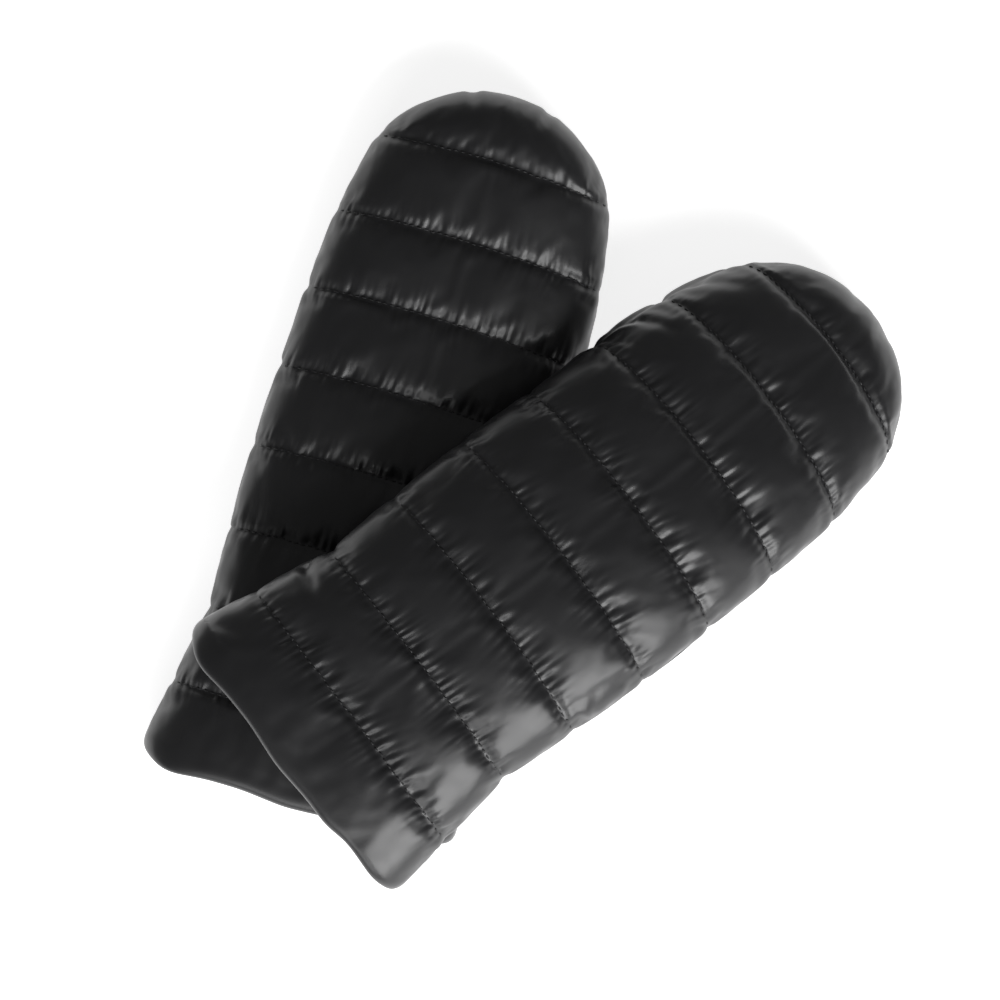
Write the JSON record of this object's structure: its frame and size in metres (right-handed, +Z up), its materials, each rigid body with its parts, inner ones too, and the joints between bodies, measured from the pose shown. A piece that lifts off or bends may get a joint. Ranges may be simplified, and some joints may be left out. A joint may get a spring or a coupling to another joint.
{
  "type": "quilted mitt pair",
  "caption": "Pair of padded quilted mitts with rounded tips, gathered wrists and turned-in cuffs, lying crossed, palm side down, with thumbs tucked under.",
  "frame": {"origin": "on the surface that the pair lies on, at the centre of its plan outline", "axes": "+Z up, +Y midway between the two mitts from the cuffs to the fingertips, +X to the right"},
  "size_m": [0.2397, 0.3138, 0.0824],
  "materials": {
    "nylon_shell": "glossy calendered black nylon, quilted, with gathers along the seams",
    "wadding": "soft white polyester wadding",
    "lining_knit": "dark brushed knit",
    "elastic": "woven elastic tape",
    "thread": "black polyester sewing thread"
  },
  "bodies": {
    "lower_mitt": {"lower_back_shell": "nylon_shell", "lower_palm_shell": "nylon_shell", "lower_back_fill_1": "wadding", "lower_back_fill_2": "wadding", "lower_back_fill_3": "wadding", "lower_back_fill_4": "wadding", "lower_back_fill_5": "wadding", "lower_back_fill_6": "wadding", "lower_back_fill_7": "wadding", "lower_back_fill_8": "wadding", "lower_back_fill_9": "wadding", "lower_palm_fill_1": "wadding", "lower_palm_fill_2": "wadding", "lower_palm_fill_3": "wadding", "lower_palm_fill_4": "wadding", "lower_palm_fill_5": "wadding", "lower_palm_fill_6": "wadding", "lower_palm_fill_7": "wadding", "lower_palm_fill_8": "wadding", "lower_palm_fill_9": "wadding", "lower_seam_allowance": "wadding", "lower_lining": "lining_knit", "lower_cuff_facing": "nylon_shell", "lower_wrist_elastic": "elastic", "lower_back_quilting": "thread", "lower_palm_quilting": "thread"},
    "lower_thumb": {"lower_thumb_shell": "nylon_shell", "lower_thumb_lower_fill": "wadding", "lower_thumb_upper_fill": "wadding", "lower_thumb_lining": "lining_knit"},
    "upper_mitt": {"upper_back_shell": "nylon_shell", "upper_palm_shell": "nylon_shell", "upper_back_fill_1": "wadding", "upper_back_fill_2": "wadding", "upper_back_fill_3": "wadding", "upper_back_fill_4": "wadding", "upper_back_fill_5": "wadding", "upper_back_fill_6": "wadding", "upper_back_fill_7": "wadding", "upper_back_fill_8": "wadding", "upper_back_fill_9": "wadding", "upper_palm_fill_1": "wadding", "upper_palm_fill_2": "wadding", "upper_palm_fill_3": "wadding", "upper_palm_fill_4": "wadding", "upper_palm_fill_5": "wadding", "upper_palm_fill_6": "wadding", "upper_palm_fill_7": "wadding", "upper_palm_fill_8": "wadding", "upper_palm_fill_9": "wadding", "upper_seam_allowance": "wadding", "upper_lining": "lining_knit", "upper_cuff_facing": "nylon_shell", "upper_wrist_elastic": "elastic", "upper_back_quilting": "thread", "upper_palm_quilting": "thread"},
    "upper_thumb": {"upper_thumb_shell": "nylon_shell", "upper_thumb_lower_fill": "wadding", "upper_thumb_upper_fill": "wadding", "upper_thumb_lining": "lining_knit"}
  },
  "joints": [
    {"name": "upper_mitt_lift", "type": "slide", "parent": "lower_mitt", "child": "upper_mitt", "axis": [0, 0, 1], "range_m": [0, 0.1]},
    {"name": "lower_thumb_swing", "type": "hinge", "parent": "lower_mitt", "child": "lower_thumb", "pos_m": [-0.05682, -0.05733, 0], "axis": [0, 0, 1], "range_deg": [0, 60]},
    {"name": "upper_thumb_swing", "type": "hinge", "parent": "upper_mitt", "child": "upper_thumb", "pos_m": [0.05839, -0.0457, 0.04238], "axis": [-0.0219, -0.0689, -0.9974], "range_deg": [0, 60]}
  ]
}
